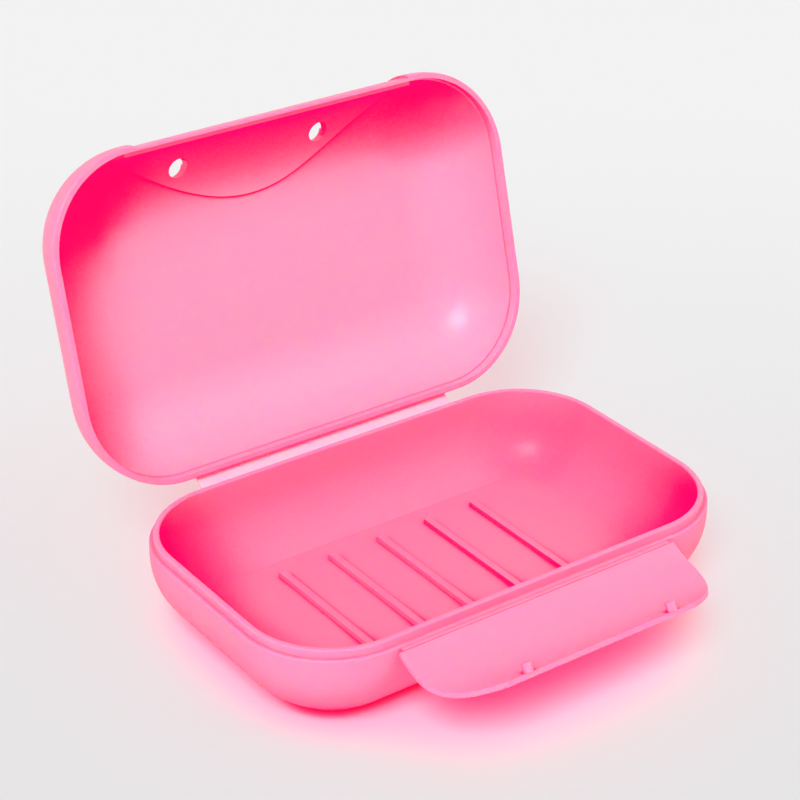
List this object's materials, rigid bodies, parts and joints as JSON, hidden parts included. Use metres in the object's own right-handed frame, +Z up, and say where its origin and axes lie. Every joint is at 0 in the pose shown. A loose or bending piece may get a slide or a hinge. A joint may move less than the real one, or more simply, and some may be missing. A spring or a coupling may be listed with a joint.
{
  "type": "travel soap box",
  "caption": "Pink plastic travel soap box, open: a rounded tray and lid joined by a folding strip, with a curved pegged latch flap.",
  "frame": {"origin": "middle of the foot's flat underside", "axes": "+X along the folds, +Y from the latch flap towards the folding strip, +Z up"},
  "size_m": [0.1174, 0.1318, 0.0947],
  "materials": {
    "pink_plastic": "translucent pink polypropylene, soft gloss",
    "fold_film": "thin translucent pink polypropylene, soft gloss"
  },
  "bodies": {
    "tray": {"base_tray": "pink_plastic", "base_fold_film": "fold_film", "latch_fold_film": "fold_film"},
    "strip": {"hinge_strip": "pink_plastic"},
    "lid": {"lid_shell": "pink_plastic", "lid_fold_film": "fold_film"},
    "flap": {"latch_flap": "pink_plastic", "left_peg": "pink_plastic", "right_peg": "pink_plastic"}
  },
  "joints": [
    {"name": "strip_fold", "type": "hinge", "parent": "tray", "child": "strip", "pos_m": [0, 0.03842, 0.01825], "axis": [1, 0, 0], "range_deg": [-35.7, 52.3]},
    {"name": "lid_fold", "type": "hinge", "parent": "strip", "child": "lid", "pos_m": [0, 0.04174, 0.02082], "axis": [1, 0, 0], "range_deg": [-35.7, 52.3]},
    {"name": "latch_fold", "type": "hinge", "parent": "tray", "child": "flap", "pos_m": [0, -0.03745, 0.01975], "axis": [1, 0, 0], "range_deg": [-120, 40]}
  ],
  "couplings": [
    {"joint": "strip_fold", "follows": "lid_fold", "ratio": 1}
  ]
}
